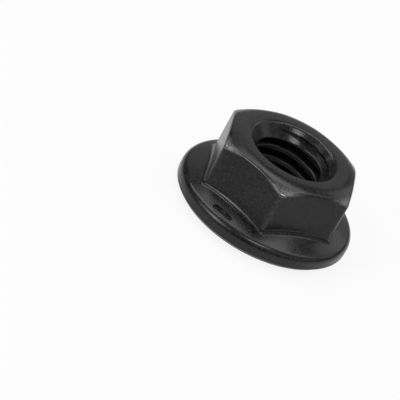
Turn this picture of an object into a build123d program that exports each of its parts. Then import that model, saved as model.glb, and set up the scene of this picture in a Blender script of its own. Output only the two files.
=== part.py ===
"""Serrated hexagon flange nut for an M8 bolt, forged and tapped as one piece of steel.

Frame: millimetres. +Z is the thread's axis and points out of the hexagon's end. The origin is on that
axis, in the plane that the crests of the serrations rest on. Two of the flats face along Y.
"""

import os
from math import cos, radians, tan

from build123d import *

# Thread: right-handed ISO metric coarse. The bore is the wall that the thread's crests lie in
thread_diameter = 8.0
thread_pitch = 1.25
thread_angle = 60.0

# Hexagon
across_flats = 13.0
nut_height = 7.8
hexagon_corner_round = 0.5

# Turned chamfer at the hexagon's end, which leads in a wide round into the land about the bore
land_diameter = 12.2
chamfer_angle = 33.0
land_round = 3.0

# Flange: a cone that falls away from the hexagon to a rim, rounded above and chamfered below
flange_diameter = 17.9
flange_slope = 22.0
rim_height = 1.95
rim_round = 0.8
rim_chamfer = 0.45
root_round = 0.6

# Countersinks at both mouths of the bore. The upper one has a soft lip
countersink_diameter = 9.0
countersink_angle = 90.0
mouth_round = 0.6

# Serrations: a raised ring of saw teeth, which grip when the nut is turned to undo it
tooth_count = 24
tooth_height = 0.35
tooth_gap_depth = 0.3
tooth_crest_angle = 2.5
serration_inner_diameter = 11.0
serration_outer_diameter = 15.5
serration_draft = 0.25

# Strength mark in clock-face code, sunk in the flange: a dot at twelve o'clock, a dash at the class's hour
mark_depth = 0.15
dash_length = 2.2
dash_width = 0.5
dot_diameter = 0.8
dot_direction = 150.0
strength_class = 8

# How far a cutter runs past the surface that it opens
overcut = 0.5

# Worked out from the sizes above
flange_radius = flange_diameter / 2
flat_distance = across_flats / 2
land_radius = land_diameter / 2
triangle_height = thread_pitch / 2 / tan(radians(thread_angle / 2))
bore_radius = thread_diameter / 2 - 5 / 8 * triangle_height
countersink_radius = countersink_diameter / 2
serration_inner = serration_inner_diameter / 2
serration_outer = serration_outer_diameter / 2
flange_fall = tan(radians(flange_slope))
chamfer_fall = tan(radians(chamfer_angle))
countersink_spread = tan(radians(countersink_angle / 2))
# Where the slope leaves the round at the hexagon's foot, where it meets the rim's round, and the marks
round_reach = tan(radians(45 - flange_slope / 2)) * cos(radians(flange_slope))
slope_start = flat_distance + root_round * round_reach
slope_end = flange_radius - rim_round * round_reach
mark_radius = (slope_start + 2 * slope_end) / 3


def slope_height(radius):
    """Height of the flange's sloping top at a distance from the axis."""
    return rim_height + (flange_radius - radius) * flange_fall


def mark_plane(direction):
    """Plane on the slope where a mark goes: X runs round the flange and Z points out of the metal."""
    along_rim = Vector(0, 1, 0).rotate(Axis.Z, direction)
    outward = Vector(flange_fall, 0, 1).rotate(Axis.Z, direction)
    centre = Vector(mark_radius, 0, slope_height(mark_radius)).rotate(Axis.Z, direction)
    return Plane(origin=centre, x_dir=along_rim, z_dir=outward)


with BuildPart() as hexagon:
    with BuildSketch(Plane.XY.offset(tooth_height)):
        RegularPolygon(flat_distance, 6, major_radius=False)
        fillet(vertices(), hexagon_corner_round)
    extrude(amount=nut_height - tooth_height)
    # The chamfer's cone takes most off the six corners, and a soft round leads from it into the land
    cone_foot = 1.5 * flat_distance
    with BuildSketch(Plane.XZ):
        with BuildLine():
            Polyline(
                (0, 0),
                (cone_foot, 0),
                (cone_foot, nut_height - (cone_foot - land_radius) * chamfer_fall),
                (land_radius, nut_height),
                (0, nut_height),
                close=True,
            )
        make_face()
        fillet(vertices().sort_by_distance((land_radius, nut_height))[0], land_round)
    revolve(axis=Axis.Z, mode=Mode.INTERSECT)

with BuildPart() as tooth_gap:
    # A bar under the rest plane, whose step and ramp meet in a root line that falls away from the axis
    root_fall = tooth_gap_depth / serration_outer
    root_line = Vector(1, 0, root_fall).normalized()
    gap_angle = radians(360 / tooth_count - tooth_crest_angle)
    gap_floor = tooth_height
    gap_plane = Plane(origin=root_line * (serration_inner - overcut), x_dir=(0, 1, 0), z_dir=root_line)
    gap_across = gap_floor * tan(gap_angle) / root_line.Z
    with BuildSketch(gap_plane):
        with BuildLine():
            Polyline((0, 0), (0, -gap_floor), (gap_across, -gap_floor), close=True)
        make_face()
    extrude(amount=serration_outer - serration_inner + 2 * overcut)

with BuildPart() as flange_nut:
    # Flange
    with BuildSketch(Plane.XZ):
        with BuildLine():
            Polyline(
                (0, tooth_height),
                (flange_radius, tooth_height),
                (flange_radius, rim_height),
                (bore_radius, slope_height(bore_radius)),
                (0, slope_height(bore_radius)),
                close=True,
            )
        make_face()
        chamfer(vertices().sort_by_distance((flange_radius, tooth_height))[0], rim_chamfer)
        fillet(vertices().sort_by_distance((flange_radius, rim_height))[0], rim_round)
    revolve(axis=Axis.Z)
    # Hexagon, with a hollow round where it stands on the flange
    add(hexagon.part)
    slope = faces().filter_by(GeomType.CONE).sort_by(SortBy.AREA)[-1]
    turned_edges = slope.edges().filter_by(GeomType.CIRCLE) + slope.edges().filter_by(GeomType.LINE)
    fillet(slope.edges() - turned_edges, root_round)
    # Raised ring under the flange, cut into saw teeth
    with BuildSketch(Plane.XZ):
        with BuildLine():
            Polyline(
                (serration_inner - serration_draft, tooth_height),
                (serration_inner, 0),
                (serration_outer, 0),
                (serration_outer + serration_draft, tooth_height),
                (serration_outer, tooth_height + overcut),
                (serration_inner, tooth_height + overcut),
                close=True,
            )
        make_face()
    revolve(axis=Axis.Z)
    with PolarLocations(0, tooth_count):
        add(tooth_gap.part, mode=Mode.SUBTRACT)
    # Bore, with a countersink at each mouth
    Hole(bore_radius)
    with BuildSketch(Plane.XZ):
        for mouth_height, outward in ((nut_height, 1), (tooth_height, -1)):
            with BuildLine():
                Polyline(
                    (0, mouth_height + outward * overcut),
                    (countersink_radius + overcut * countersink_spread, mouth_height + outward * overcut),
                    (0, mouth_height - outward * countersink_radius / countersink_spread),
                    close=True,
                )
            make_face()
    revolve(axis=Axis.Z, mode=Mode.SUBTRACT)
    mouths = edges().filter_by(GeomType.CIRCLE).filter_by(lambda ring: abs(ring.radius - countersink_radius) < 0.01)
    fillet(mouths.sort_by(Axis.Z)[-1], mouth_round)
    # Strength mark
    with BuildSketch(mark_plane(dot_direction)):
        Circle(dot_diameter / 2)
    extrude(amount=-mark_depth, mode=Mode.SUBTRACT)
    with BuildSketch(mark_plane(dot_direction - strength_class * 30)):
        SlotOverall(dash_length, dash_width)
    extrude(amount=-mark_depth, mode=Mode.SUBTRACT)

flange_nut.part.label = "flange_nut"
os.makedirs("parts", exist_ok=True)
export_step(flange_nut.part, "parts/flange_nut.step")
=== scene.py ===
"""A black M8 serrated flange nut: one closed skin with its thread, in black oxide on forged steel.

Shapes are worked out in millimetres, in the CAD model's frame, and go into the mesh in metres. +Z is the
thread's axis and points out of the hexagon's end, and z = 0 is the plane of the saw teeth's crests.
"""

from math import cos, pi, radians, sin, tan

import bmesh
import bpy
import numpy as np
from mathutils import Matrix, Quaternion, Vector


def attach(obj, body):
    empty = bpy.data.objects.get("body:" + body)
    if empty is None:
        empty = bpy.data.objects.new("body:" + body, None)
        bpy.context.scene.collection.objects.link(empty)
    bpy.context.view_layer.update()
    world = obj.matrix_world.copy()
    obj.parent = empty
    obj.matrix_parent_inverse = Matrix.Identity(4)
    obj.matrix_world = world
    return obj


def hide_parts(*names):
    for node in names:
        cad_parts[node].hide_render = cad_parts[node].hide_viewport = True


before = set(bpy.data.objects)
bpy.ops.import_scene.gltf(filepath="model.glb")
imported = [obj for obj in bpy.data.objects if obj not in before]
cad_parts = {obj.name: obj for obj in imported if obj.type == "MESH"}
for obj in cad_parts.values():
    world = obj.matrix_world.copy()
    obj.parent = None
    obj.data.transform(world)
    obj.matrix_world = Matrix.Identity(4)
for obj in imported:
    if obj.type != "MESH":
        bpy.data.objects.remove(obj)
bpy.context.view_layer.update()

METRE = 0.001

# Sizes of the nut, as in the part's source
thread_diameter = 8.0
thread_pitch = 1.25
across_flats = 13.0
nut_height = 7.8
hexagon_corner_round = 0.5
land_diameter = 12.2
chamfer_angle = 33.0
land_round = 3.0
flange_diameter = 17.9
flange_slope = 22.0
rim_height = 1.95
rim_round = 0.8
rim_chamfer = 0.45
root_round = 0.6
countersink_diameter = 9.0
mouth_round = 0.6
tooth_count = 24
tooth_height = 0.35
tooth_gap_depth = 0.3
tooth_crest_angle = 2.5
serration_inner = 5.5
serration_outer = 7.75
serration_draft = 0.25
mark_depth = 0.15
dash_length = 2.2
dash_width = 0.5
dot_diameter = 0.8
dot_direction = 150.0
dash_direction = -90.0

# Finishing sizes that only the skin has
chamfer_edge_round = 0.4
lower_mouth_round = 0.12
rim_chamfer_round = 0.12
thread_edge_round = 0.08
mark_edge = 0.06

# Towards +X the groove's turns are centred this share of a pitch above whole pitches
first_groove = 0.48

# Worked out from the sizes above
flange_radius = flange_diameter / 2
flat_distance = across_flats / 2
land_radius = land_diameter / 2
countersink_radius = countersink_diameter / 2
major_radius = thread_diameter / 2
minor_radius = major_radius - thread_pitch * 5 / 16 / tan(radians(30))
flange_fall = tan(radians(flange_slope))
chamfer_fall = tan(radians(chamfer_angle))
round_reach = tan(radians(45 - flange_slope / 2)) * cos(radians(flange_slope))
slope_start = flat_distance + root_round * round_reach
slope_end = flange_radius - rim_round * round_reach
mark_radius = (slope_start + 2 * slope_end) / 3
dome_start = land_radius - land_round * tan(radians(chamfer_angle / 2))

# Rings where the patches of the skin meet
underside_join = serration_outer + serration_draft + 0.1
outside_join = underside_join + 0.15
inside_join = serration_inner - serration_draft - 0.05
sink_join = 0.25
thread_join = 0.35

# How finely the skin is divided
outside_columns = 360
fine_steps = 20000
slope_rows = 36
edge_rows = 8
dome_rows = 13
thread_columns = 128
rows_per_turn = 32
gap_columns = 9
gap_rows = 4

# Points nearer than this are one, and edges that turn by more than this angle are sharp
merge_distance = 0.0001
sharp_angle = 28.0

# How much of the finish is rubbed off the chamfer's edge, and the painted highlight of lighter bare steel
# down the hexagon's upright edges, and how widely it spreads
edge_wear = 0.25
upright_painted_sheen = 0.6
upright_sheen_degrees = 1.8

# A row this near the wall lies on it, and a point this near the thread's surface is tapped
near_enough = 0.02


def slope_height(radius):
    """Height of the flange's sloping top at a distance from the axis."""
    return rim_height + (flange_radius - radius) * flange_fall


def dome_height(radius, inset=0.0):
    """Height of the hexagon's end at a distance from the axis, or of the surface an inset under it.

    It is level out to s = m - R tan(w / 2), for m the land's radius, R its round and w the chamfer's angle.
    From there it is the arc h - R + sqrt((R - i)^2 - (r - s)^2), for h the nut's height and i the inset, and
    where that has turned by w it goes on as a cone that falls by tan(w).
    """
    bend = land_round - inset
    turned = bend * sin(radians(chamfer_angle))
    past = np.clip(radius - dome_start, 0, turned)
    beyond = np.maximum(radius - dome_start - turned, 0)
    return nut_height - land_round + np.sqrt(bend**2 - past**2) - beyond * chamfer_fall


def angle_from_corner(angle):
    """Angle from the nearest corner of the hexagon, which has one at every 60 degrees."""
    return np.abs((angle + pi / 6) % (pi / 3) - pi / 6)


def wall_distance(angle):
    """Distance from the axis to the hexagon's side.

    On a flat it is a / cos(p), for a the flat's distance and p the angle from the flat's middle. Round a
    corner it is c cos(q) + sqrt(e^2 - c^2 sin(q)^2), for q the angle from the corner, e the corner's
    rounding and c the distance of the rounding's centre, which is (a - e) / cos(30).
    """
    from_corner = angle_from_corner(angle)
    centre = (flat_distance - hexagon_corner_round) / cos(pi / 6)
    half = np.arctan2(hexagon_corner_round * sin(pi / 6), centre + hexagon_corner_round * cos(pi / 6))
    on_corner = from_corner < half
    near = np.where(on_corner, from_corner, 0)
    corner = centre * np.cos(near) + np.sqrt(hexagon_corner_round**2 - (centre * np.sin(near)) ** 2)
    return np.where(on_corner, corner, flat_distance / np.cos(pi / 6 - from_corner))


def crowded(count):
    """Fractions from 0 up to, and without, 1 that crowd at both ends: (1 - cos(pi t)) / 2."""
    return (1 - np.cos(pi * np.arange(count) / count)) / 2


def section(corners, rounds, runs, arc_rows):
    """Rows of a section with rounded corners, for all columns at once.

    A corner of rounding e, where the heading turns by w, is left e tan(w / 2) before it. Its arc is
    start + e sin(t) d + e (1 - cos(t)) s, for d the heading into it, s the side it turns to and t from
    0 to |w|. Between arcs the rows follow a straight run, at the fractions given for it.
    """
    points = [np.stack(np.broadcast_arrays(*corner), axis=-1) for corner in corners]
    here = points[0]
    rows = []
    for index in range(1, len(points) - 1):
        before = points[index] - points[index - 1]
        after = points[index + 1] - points[index]
        before = before / np.linalg.norm(before, axis=-1, keepdims=True)
        after = after / np.linalg.norm(after, axis=-1, keepdims=True)
        crossed = before[:, 0] * after[:, 1] - before[:, 1] * after[:, 0]
        turn = np.arctan2(crossed, (before * after).sum(-1))
        reach = (rounds[index - 1] * np.tan(np.abs(turn) / 2))[:, None]
        start = points[index] - before * reach
        fraction = runs[index - 1][:, None, None]
        rows.append(here + (start - here) * fraction)
        side = np.sign(turn)[:, None] * np.stack([-before[:, 1], before[:, 0]], axis=-1)
        way = np.arange(arc_rows[index - 1]) / arc_rows[index - 1]
        bend = (way[:, None] * np.abs(turn))[..., None]
        rows.append(start + rounds[index - 1] * (np.sin(bend) * before + (1 - np.cos(bend)) * side))
        here = points[index] + after * reach
    fraction = np.append(runs[-1], 1.0)[:, None, None]
    rows.append(here + (points[-1] - here) * fraction)
    return np.concatenate(rows)


def turned_about_axis(radius, height, angle):
    """Points at a radius, a height and an angle about the axis."""
    return np.stack([radius * np.cos(angle), radius * np.sin(angle), height + 0 * radius], axis=-1)


def stamped(points, direction, length, width):
    """Points with a round-ended mark sunk into the flange's slope, and how far each is sunk, from 0 to 1.

    In the plane on the slope at the mark, u runs round the flange and v up the slope. The distance to the
    mark's outline is sqrt(max(|u| - (length - width) / 2, 0)^2 + v^2) - width / 2, and a point goes in by
    the mark's depth times a smooth step of that distance.
    """
    angle = radians(direction)
    out = np.array([cos(angle), sin(angle), 0])
    along = np.array([-sin(angle), cos(angle), 0])
    normal = out * sin(radians(flange_slope)) + np.array([0, 0, cos(radians(flange_slope))])
    upward = np.cross(normal, along)
    place = points - out * mark_radius - np.array([0, 0, slope_height(mark_radius)])
    past_end = np.maximum(np.abs(place @ along) - (length - width) / 2, 0)
    outline = np.sqrt(past_end**2 + (place @ upward) ** 2) - width / 2
    step = np.clip(0.5 - outline / mark_edge, 0, 1)
    depth = mark_depth * step**2 * (3 - 2 * step) * (np.abs(place @ normal) < 2 * mark_depth)
    return points - depth[..., None] * normal, depth / mark_depth


def outside_angles():
    """Angles of the outside's columns, which crowd where the shape turns: at the corners and the marks.

    The crowding is 1, and k exp(-(a / w)^n) more near each of these places, for a the angle from it in
    degrees, w the crowd's reach, k its strength and n 4 at a corner and 8 at a mark. The columns part its
    running total into equal steps.
    """
    corner_reach = 2.6
    corner_strength = 3.5
    dash_reach = 8.8
    dash_strength = 3.0
    dot_reach = 3.9
    dot_strength = 4.0
    marks = ((dash_direction, dash_reach, dash_strength), (dot_direction, dot_reach, dot_strength))
    fine = np.linspace(0, 2 * pi, fine_steps + 1)
    from_corner = np.degrees(angle_from_corner(fine))
    crowding = 1 + corner_strength * np.exp(-((from_corner / corner_reach) ** 4))
    for direction, reach, strength in marks:
        away = np.degrees(np.abs((fine - radians(direction) + pi) % (2 * pi) - pi))
        crowding = crowding + strength * np.exp(-((away / reach) ** 8))
    total = np.concatenate([[0], np.cumsum((crowding[1:] + crowding[:-1]) / 2)])
    return np.interp(np.arange(outside_columns) / outside_columns * total[-1], total, fine)


def outside_skin():
    """The outside, from the flange's underside over the rim, slope and hexagon into the upper countersink.

    With its points come, for each of them, how lightened and how sunk it is, and the columns' angles. The
    edge between the wall and the chamfer is worn by sin(pi t), for t the way over it, and the wall carries a
    painted highlight of exp(-(a / w)^2), for a the angle from the nearest corner in degrees and w the
    highlight's reach.
    """
    angle = outside_angles()
    wall = wall_distance(angle)
    # The edge between the wall and the chamfer rolls about a hub that lies its rounding inside both
    hub = wall - chamfer_edge_round
    hub_height = dome_height(hub, chamfer_edge_round)
    lean = np.arcsin((hub - dome_start) / (land_round - chamfer_edge_round))
    lean = np.minimum(lean, radians(chamfer_angle))
    slope_run = np.union1d(crowded(8), np.arange(slope_rows) / slope_rows)
    side = section(
        [
            (outside_join + 0 * wall, tooth_height),
            (flange_radius - rim_chamfer + 0 * wall, tooth_height),
            (flange_radius + 0 * wall, tooth_height + rim_chamfer),
            (flange_radius + 0 * wall, rim_height),
            (wall, slope_height(wall)),
            (wall, hub_height),
        ],
        [rim_chamfer_round, rim_chamfer_round, rim_round, root_round],
        [crowded(3), crowded(4), crowded(5), slope_run, crowded(10)],
        [4, 4, 10, 8],
    )
    way = np.arange(1, edge_rows + 1)[:, None] / edge_rows
    roll = way * (pi / 2 - lean)
    edge = hub[None, :] + chamfer_edge_round * np.cos(roll)
    edge_height = hub_height + chamfer_edge_round * np.sin(roll)
    inward = crowded(dome_rows + 1)[1:, None]
    dome = edge[-1] + (dome_start - edge[-1]) * inward
    mouth = section(
        [
            (dome_start + 0 * wall, nut_height),
            (countersink_radius + 0 * wall, nut_height),
            (countersink_radius - sink_join + 0 * wall, nut_height - sink_join),
        ],
        [mouth_round],
        [crowded(3), crowded(2)],
        [9],
    )
    rolled = np.stack([edge, edge_height], axis=-1)
    domed = np.stack([dome, dome_height(dome)], axis=-1)
    rows = np.concatenate([side, rolled, domed, mouth])
    lightened_ridges = np.zeros((len(rows), 1))
    lightened_ridges[len(side) : len(side) + edge_rows] = edge_wear * np.sin(pi * way)
    points = turned_about_axis(rows[..., 0], rows[..., 1], angle)
    points, in_dash = stamped(points, dash_direction, dash_length, dash_width)
    points, in_dot = stamped(points, dot_direction, dot_diameter, dot_diameter)
    from_corner = np.degrees(angle_from_corner(angle))
    on_wall = np.abs(rows[..., 0] - wall) < near_enough
    # Painted highlight: lighter bare steel down the hexagon's upright edges
    upright = upright_painted_sheen * np.exp(-((from_corner / upright_sheen_degrees) ** 2)) * on_wall
    return points, np.maximum(lightened_ridges, upright), in_dash + in_dot, angle


def thread_radius(turns):
    """Distance of the thread's surface from the axis, by the turns from the middle of the groove.

    The groove is a V of 60 degrees with a flat root an eighth of a pitch wide: major - (s - p / 16) /
    tan(30), held between the minor and the major radius, for s the distance along the axis from the
    groove's middle and p the pitch. Both holds are softened over e: max(a, b) is (a + b + sqrt((a - b)^2 +
    e^2)) / 2, and min(a, b) has a minus before the root.
    """
    along = np.abs((turns + 0.5) % 1 - 0.5) * thread_pitch
    flank = major_radius - (along - thread_pitch / 16) / tan(radians(30))
    soft = thread_edge_round
    flank = (flank + minor_radius + np.sqrt((flank - minor_radius) ** 2 + soft**2)) / 2
    return (flank + major_radius - np.sqrt((flank - major_radius) ** 2 + soft**2)) / 2


def thread_skin():
    """The bore between both countersinks, its columns' angles, and which of its points are tapped.

    Rows climb with the thread, a pitch for each turn. A point's height is low - p + (row / rows per turn +
    angle / turn) p, held between both ends, for p the pitch, and its radius is the largest of the thread's
    and both countersinks' cones at that height. It is tapped where the thread's is the largest.
    """
    low = tooth_height + thread_join
    high = nut_height - thread_join
    last_row = int((high - low) / thread_pitch * rows_per_turn) + rows_per_turn + 2
    row = np.arange(last_row + 1)[:, None]
    turned = np.arange(thread_columns)[None, :] / thread_columns
    angle = turned * 2 * pi
    height = np.clip(low - thread_pitch + (row / rows_per_turn + turned) * thread_pitch, low, high)
    grooved = thread_radius(low / thread_pitch - 1 + row / rows_per_turn - first_groove) + 0 * height
    upper_sink = countersink_radius - (nut_height - height)
    lower_sink = countersink_radius - (height - tooth_height)
    radius = np.maximum(grooved, np.maximum(upper_sink, lower_sink))
    return turned_about_axis(radius, height, angle), angle[0], grooved + near_enough >= radius


def underside_skin():
    """The saw teeth under the flange and the flats beside them, from the rim to the lower countersink.

    A gap between two crests lies on the plane z = k (x - y / tan(w)), for x along the tooth's step, w the
    gap's angle and k the gap's depth over the ring's outer radius, so z = k r g, where g is cos(a) -
    sin(a) / tan(w) at the angle a past the step, and 0 on a crest. It ends on the ring's sloping sides
    where k r g meets their height.
    """
    gap = radians(360 / tooth_count - tooth_crest_angle)
    crest_end = radians(360 / tooth_count)
    in_tooth = np.concatenate([np.linspace(0, gap, gap_columns), [(gap + crest_end) / 2, crest_end]])
    depth = np.clip(np.cos(in_tooth) - np.sin(in_tooth) / tan(gap), 0, None)
    depth[gap_columns:] = 0
    angle = (np.arange(tooth_count)[:, None] * crest_end + in_tooth).ravel()
    deepest = tooth_gap_depth / serration_outer
    fall = deepest * np.tile(depth, tooth_count)
    steep = tooth_height / serration_draft
    outer_cut = serration_outer * steep / (steep - fall)
    inner_cut = serration_inner * steep / (steep + fall)
    outer_full = serration_outer * steep / (steep - deepest)
    inner_full = serration_inner * steep / (steep + deepest)
    rows = [
        (underside_join, tooth_height),
        (serration_outer + serration_draft, tooth_height),
        (outer_full, outer_full * deepest),
        (outer_cut, outer_cut * fall),
    ]
    for way in np.linspace(0, 1, gap_rows + 2)[1:-1]:
        radius = outer_cut + (inner_cut - outer_cut) * way
        rows.append((radius, radius * fall))
    rows += [
        (inner_cut, inner_cut * fall),
        (inner_full, inner_full * deepest),
        (serration_inner - serration_draft, tooth_height),
    ]
    toothed = np.stack([np.stack(np.broadcast_arrays(*row, angle)[:2], axis=-1) for row in rows])
    mouth = section(
        [
            (inside_join + 0 * angle, tooth_height),
            (countersink_radius + 0 * angle, tooth_height),
            (countersink_radius - sink_join + 0 * angle, tooth_height + sink_join),
        ],
        [lower_mouth_round],
        [crowded(4), crowded(3)],
        [4],
    )
    rows = np.concatenate([toothed, mouth])
    return turned_about_axis(rows[..., 0], rows[..., 1], angle), angle


def grid_faces(first, rows, columns):
    """Four-cornered faces of a grid of rows that close on themselves."""
    row = np.arange(rows - 1)[:, None] * columns
    column = np.arange(columns)[None, :]
    beside = (column + 1) % columns
    corners = [row + column, row + beside, row + columns + beside, row + columns + column]
    return first + np.stack([corner.ravel() for corner in corners], axis=-1)


def climbing_faces(first, rows, columns):
    """Faces of the thread's grid, whose last column joins the first one a turn of rows further up."""
    row = np.arange(rows - 1)[:, None]
    column = np.arange(columns)[None, :]
    beside = (column + 1) % columns
    lift = np.where(beside == 0, rows_per_turn, 0)
    low_beside = np.minimum(row + lift, rows - 1)
    high_beside = np.minimum(row + lift + 1, rows - 1)
    corners = [
        row * columns + column,
        low_beside * columns + beside,
        high_beside * columns + beside,
        (row + 1) * columns + column,
    ]
    return first + np.stack([corner.ravel() for corner in corners], axis=-1)


def zipped_faces(ring_a, angle_a, ring_b, angle_b):
    """Triangles between two rings of points with different spacing.

    Each edge of one ring takes the point of the other ring that the walk round both has reached when it
    comes to the edge's end.
    """
    end_a = np.round(np.append(angle_a[1:], 2 * pi), 9)
    end_b = np.round(np.append(angle_b[1:], 2 * pi), 9)
    next_a = np.roll(ring_a, -1)
    next_b = np.roll(ring_b, -1)
    reached_b = np.append(ring_b, ring_b[0])[np.searchsorted(end_b, end_a, side="left")]
    reached_a = np.append(ring_a, ring_a[0])[np.searchsorted(end_a, end_b, side="right")]
    from_a = np.stack([ring_a, next_a, reached_b], axis=-1)
    from_b = np.stack([next_b, ring_b, reached_a], axis=-1)
    return np.concatenate([from_a, from_b])


def end_rows(patch, first, angle):
    """Numbers of the points in a patch's first and last row, each with the columns' angles."""
    rows, columns = patch.shape[:2]
    return [(first + row * columns + np.arange(columns), angle) for row in (0, rows - 1)]


def mark_points(mesh, name, first, values):
    """Gives the mesh an attribute that has these values from a first point on, and 0 elsewhere."""
    whole = np.zeros(len(mesh.vertices), dtype=np.float32)
    whole[first : first + values.size] = values.ravel()
    mesh.attributes.new(name, "FLOAT", "POINT").data.foreach_set("value", whole)


def nut_skin():
    """The whole nut as one closed mesh, from its outside, its thread and its underside."""
    outside, lightened_ridges, in_mark, outside_angle = outside_skin()
    thread, thread_angle, in_thread = thread_skin()
    underside, underside_angle = underside_skin()
    patches = (outside, thread, underside)
    outside_at, thread_at, underside_at = np.cumsum([0] + [patch.size // 3 for patch in patches[:2]])
    quads = np.concatenate(
        [
            grid_faces(outside_at, *outside.shape[:2]),
            climbing_faces(thread_at, *thread.shape[:2]),
            grid_faces(underside_at, *underside.shape[:2]),
        ]
    )
    outside_ends = end_rows(outside, outside_at, outside_angle)
    thread_ends = end_rows(thread, thread_at, thread_angle)
    underside_ends = end_rows(underside, underside_at, underside_angle)
    triangles = np.concatenate(
        [
            zipped_faces(*outside_ends[0], *underside_ends[0]),
            zipped_faces(*outside_ends[1], *thread_ends[1]),
            zipped_faces(*thread_ends[0], *underside_ends[1]),
        ]
    )
    points = np.concatenate([patch.reshape(-1, 3) for patch in patches]) * METRE
    mesh = bpy.data.meshes.new("nut_skin")
    mesh.from_pydata(points, [], quads.tolist() + triangles.tolist())
    mark_points(mesh, "ridge", outside_at, lightened_ridges)
    mark_points(mesh, "tapped", thread_at, in_thread)
    mark_points(mesh, "sunk", outside_at, in_mark)
    closed = bmesh.new()
    closed.from_mesh(mesh)
    bmesh.ops.remove_doubles(closed, verts=closed.verts, dist=merge_distance * METRE)
    bmesh.ops.recalc_face_normals(closed, faces=closed.faces)
    closed.to_mesh(mesh)
    closed.free()
    mesh.shade_smooth()
    mesh.set_sharp_from_angle(angle=radians(sharp_angle))
    piece = bpy.data.objects.new("nut_body", mesh)
    bpy.context.scene.collection.objects.link(piece)
    return piece


class Value:
    """An output socket. An expression on it adds the Math nodes that work it out."""

    def __init__(self, bench, socket):
        self.bench = bench
        self.socket = socket

    def math(self, operation, other, clamp=False):
        settings = {"operation": operation, "use_clamp": clamp}
        return self.bench.add("ShaderNodeMath", settings, {0: self, 1: other}, "Value")

    def __add__(self, other):
        return self.math("ADD", other)

    __radd__ = __add__

    def __mul__(self, other):
        return self.math("MULTIPLY", other)

    __rmul__ = __mul__

    def __sub__(self, other):
        return self.math("SUBTRACT", other)

    def __rsub__(self, other):
        return self * -1 + other

    def __pow__(self, other):
        return self.math("POWER", other)

    def held(self):
        """The value, held between 0 and 1."""
        return self.math("MULTIPLY", 1.0, clamp=True)

    def past(self, start, rate):
        """How far the value is past a start, times a rate, held between 0 and 1.

        With a negative rate it is how far the value is below the start.
        """
        return ((self - start) * rate).held()

    def beside(self, output):
        """Another output of the same node."""
        return Value(self.bench, self.socket.node.outputs[output])


class Bench:
    """Makes the nodes of one material or world."""

    def __init__(self, tree):
        self.tree = tree
        tree.nodes.clear()

    def add(self, kind, settings, sockets, output=None):
        """Adds a node, sets its settings, then its sockets' values or links, and gives the named output."""
        node = self.tree.nodes.new(kind)
        for name, value in settings.items():
            setattr(node, name, value)
        for name, value in sockets.items():
            if isinstance(value, Value):
                self.tree.links.new(value.socket, node.inputs[name])
            else:
                node.inputs[name].default_value = value
        return None if output is None else Value(self, node.outputs[output])

    def noise(self, place, scale, detail, roughness):
        """Noise over a place in millimetres, with so many lumps to the millimetre."""
        sockets = {"Vector": place, "Scale": scale, "Detail": detail, "Roughness": roughness}
        return self.add("ShaderNodeTexNoise", {}, sockets, "Fac")

    def blend(self, factor, first, second):
        """Mixes two colours, which are the Mix node's inputs 6 and 7, into its output 2."""
        sockets = {0: factor, 6: first, 7: second}
        return self.add("ShaderNodeMix", {"data_type": "RGBA"}, sockets, 2)


def grey(level):
    """An opaque neutral colour."""
    return (level, level, level, 1.0)


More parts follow.
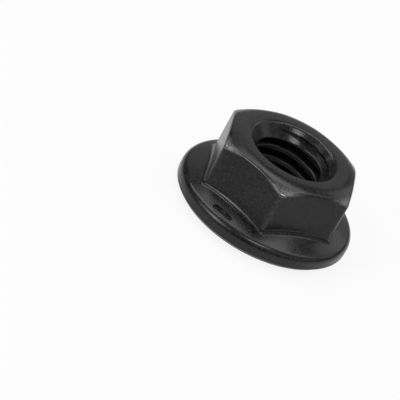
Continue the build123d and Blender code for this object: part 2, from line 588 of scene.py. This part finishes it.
def black_steel():
    """Black oxide over forged and turned steel: near black, semi-gloss, with a fine grain and soft lumps.

    The chamfer's corners show speckles of bare steel, the front one most, and the worn edges a little; the
    hexagon's upright edges carry a painted highlight of lighter bare steel. The floors of the marks shine
    less, and so do the tapped flanks, as painted shade in the bore, and the hexagon's flats, as a painted
    dark reflection, because a metal as dark as the oxide mirrors less than the oxide's own gloss.
    """
    oxide_black = grey(0.001)
    oxide_grey = (0.015, 0.015, 0.0155, 1.0)
    bare_steel_and_sheen = (0.26, 0.26, 0.265, 1.0)
    # Distances from the axis where the worn corners and the flats' painted dark reflection begin
    corners_from = 6.6
    flats_from = 6.2
    material = bpy.data.materials.new("black_steel")
    material.use_nodes = True
    bench = Bench(material.node_tree)
    place = bench.add("ShaderNodeTexCoord", {}, {}, "Object")
    place = bench.add("ShaderNodeVectorMath", {"operation": "SCALE"}, {0: place, "Scale": 1 / METRE}, 0)
    ridge = bench.add("ShaderNodeAttribute", {"attribute_name": "ridge"}, {}, "Fac")
    tapped = bench.add("ShaderNodeAttribute", {"attribute_name": "tapped"}, {}, "Fac")
    sunk = bench.add("ShaderNodeAttribute", {"attribute_name": "sunk"}, {}, "Fac")
    grain = bench.noise(place, scale=4.5, detail=4.0, roughness=0.6)
    lumps = bench.noise(place, scale=0.9, detail=3.0, roughness=0.5)
    specks = bench.noise(place, scale=14.0, detail=2.0, roughness=0.5)
    patches = bench.noise(place, scale=0.35, detail=4.0, roughness=0.6)
    x = bench.add("ShaderNodeSeparateXYZ", {}, {"Vector": place}, "X")
    y = x.beside("Y")
    height = x.beside("Z")

    # Where on the nut a point is
    from_axis = (x * x + y * y) ** 0.5
    above_slope = height - rim_height - (flange_radius - from_axis) * flange_fall
    above_cone = height - nut_height + (from_axis - land_radius) * chamfer_fall
    chamfered = above_cone.past(start=-0.2, rate=6.0) * from_axis.past(start=land_radius - 0.267, rate=3.0)
    corner = chamfered * from_axis.past(start=corners_from, rate=1.9)
    # Painted shade: the groove's flanks deep in the bore get a dark metal that mirrors less, and the crests
    # stay glossy
    flank = tapped * from_axis.past(start=minor_radius + 0.075, rate=8.0)
    below_cone = above_cone.past(start=-0.05, rate=-6.0)
    on_hexagon = from_axis.past(start=flats_from, rate=10.0)
    # Painted dark reflection: the hexagon's flats get a dark metal that mirrors less, so they look darker
    flats_painted_dark = above_slope.past(start=0.0, rate=3.0) * below_cone * on_hexagon

    # Bare steel: worn speckles on the chamfer's corners, most on the front corner, worn chamfer edges, and a
    # painted highlight down the hexagon's upright edges
    toward_front = (x * 0.07 - y * 0.12).held() * 0.8 + 0.2
    speckled = grain.past(start=0.3, rate=4.5)
    wear_and_sheen = (corner * toward_front * speckled * 1.3 + ridge.held() * grain * 0.3).held()

    tone = ((grain - 0.5) * 5.0 + (patches - 0.5) * 1.5 + 0.42).held()
    colour = bench.blend(wear_and_sheen, bench.blend(tone, oxide_black, oxide_grey), bare_steel_and_sheen)
    # Metallic: bare steel where worn or painted lighter; painted shade on the bore's flanks and a painted
    # dark reflection on the flats, where the dark metal mirrors less; and the marks' floors
    metal = (wear_and_sheen + flank * 0.85 + sunk * 0.8 + flats_painted_dark * 0.28).held()
    roughness = 0.14 + grain * 0.1 + patches * 0.1 + tapped * 0.1
    relief_in_mm = lumps * 0.012 + grain * (chamfered * 0.004 + 0.002) + specks * 0.001
    bump = {"Height": relief_in_mm, "Distance": METRE, "Strength": 1.0}
    normal = bench.add("ShaderNodeBump", {}, bump, "Normal")
    shader = bench.add(
        "ShaderNodeBsdfPrincipled",
        {},
        {
            "Base Color": colour,
            "Metallic": metal,
            "Roughness": roughness,
            "Normal": normal,
            "IOR": 1.5,
            "Specular IOR Level": 0.4,
        },
        "BSDF",
    )
    bench.add("ShaderNodeOutputMaterial", {}, {"Surface": shader})
    return material


def studio_floor():
    """White sheet: matt, and for the camera and reflections partly lit by itself, so that it stays white.

    What part is matt is lit by the lamps, and so holds the nut's shadow.
    """
    sheet_level = 0.78
    glow_seen = 0.88
    glow_mirrored = 0.4
    reach = 1.5
    material = bpy.data.materials.new("white_sheet")
    material.use_nodes = True
    bench = Bench(material.node_tree)
    rays = bench.add("ShaderNodeLightPath", {}, {}, "Is Camera Ray")
    glossy = rays.beside("Is Glossy Ray")
    through = rays.beside("Is Transmission Ray")
    matt = bench.add("ShaderNodeBsdfDiffuse", {}, {"Color": grey(sheet_level)}, "BSDF")
    glow = bench.add("ShaderNodeEmission", {}, {"Color": grey(1.0), "Strength": 1.0}, "Emission")
    share = (rays * glow_seen + glossy * glow_mirrored + through * glow_seen).held()
    sheet = bench.add("ShaderNodeMixShader", {}, {0: share, 1: matt, 2: glow}, 0)
    bench.add("ShaderNodeOutputMaterial", {}, {"Surface": sheet})
    corners = [(-reach, -reach, 0), (reach, -reach, 0), (reach, reach, 0), (-reach, reach, 0)]
    mesh = bpy.data.meshes.new("floor")
    mesh.from_pydata(corners, [], [(0, 1, 2, 3)])
    mesh.materials.append(material)
    floor = bpy.data.objects.new("floor", mesh)
    bpy.context.scene.collection.objects.link(floor)


def studio_world():
    """White to the camera, and a plain soft level for the light."""
    soft_level = 0.16
    world = bpy.data.worlds.new("studio")
    bpy.context.scene.world = world
    world.use_nodes = True
    bench = Bench(world.node_tree)
    rays = bench.add("ShaderNodeLightPath", {}, {}, "Is Camera Ray")
    plain = bench.add("ShaderNodeBackground", {}, {"Color": grey(soft_level), "Strength": 1.0}, "Background")
    white = bench.add("ShaderNodeBackground", {}, {"Color": grey(1.0), "Strength": 1.0}, "Background")
    mixed = bench.add("ShaderNodeMixShader", {}, {0: rays, 1: plain, 2: white}, 0)
    bench.add("ShaderNodeOutputWorld", {}, {"Surface": mixed})


def lamp(name, azimuth, elevation, distance, width, height, radiance):
    """A soft box at a direction and distance from the nut, facing it, of a given brightness to look at.

    Its direction is in degrees, its distance, width and height in metres, and its power is its brightness
    times pi times its area.
    """
    light = bpy.data.lights.new(name, "AREA")
    light.shape = "RECTANGLE"
    light.size = width
    light.size_y = height
    light.energy = radiance * pi * width * height
    box = bpy.data.objects.new(name, light)
    level = cos(radians(elevation))
    way = Vector((level * cos(radians(azimuth)), level * sin(radians(azimuth)), sin(radians(elevation))))
    box.location = way * distance
    box.rotation_mode = "QUATERNION"
    box.rotation_quaternion = way.to_track_quat("Z", "Y")
    bpy.context.scene.collection.objects.link(box)


def camera():
    """A long lens, turned on its own axis, so that the nut leans in the picture."""
    lens_length = 209.3
    eye_place = Vector((72.65, -179.1, 109.62)) * METRE
    aim_place = Vector((-4.08, -4.53, -0.43)) * METRE
    roll = 28.94
    view = bpy.data.cameras.new("camera")
    view.sensor_width = 36.0
    view.lens = lens_length
    view.clip_start = 0.01
    view.clip_end = 10.0
    eye = bpy.data.objects.new("camera", view)
    eye.location = eye_place
    level = (aim_place - eye_place).to_track_quat("-Z", "Y")
    eye.rotation_mode = "QUATERNION"
    eye.rotation_quaternion = level @ Quaternion((0, 0, 1), radians(roll))
    bpy.context.scene.collection.objects.link(eye)
    bpy.context.scene.camera = eye


nut_body = nut_skin()
nut_body.data.materials.append(black_steel())
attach(nut_body, "root")
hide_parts("flange_nut")

studio_floor()
studio_world()
lamp("window", 240, 36, 0.45, 0.32, 0.28, 1.75)
lamp("window_middle", 243, 38, 0.44, 0.055, 0.16, 9.0)
lamp("strip", 180, 54, 0.45, 0.055, 0.28, 6.5)
lamp("overhead", 96, 74, 0.5, 0.26, 0.18, 2.8)
lamp("back_left", 146, 61, 0.5, 0.24, 0.18, 1.8)
lamp("back_right", 38, 58, 0.5, 0.18, 0.22, 1.9)
lamp("front", 314, 60, 0.45, 0.15, 0.085, 8.5)
lamp("back", 124, 31, 0.6, 0.42, 0.24, 0.33)
lamp("back_side", 80, 33, 0.6, 0.24, 0.28, 0.85)
lamp("back_low", 110, 14, 0.6, 0.6, 0.14, 0.2)
lamp("right", 330, 38, 0.5, 0.34, 0.2, 0.55)
lamp("right_low", 10, 25, 0.6, 0.5, 0.3, 0.45)
lamp("right_back", 52, 30, 0.6, 0.2, 0.26, 0.7)
camera()

bpy.context.scene.view_settings.view_transform = "Standard"
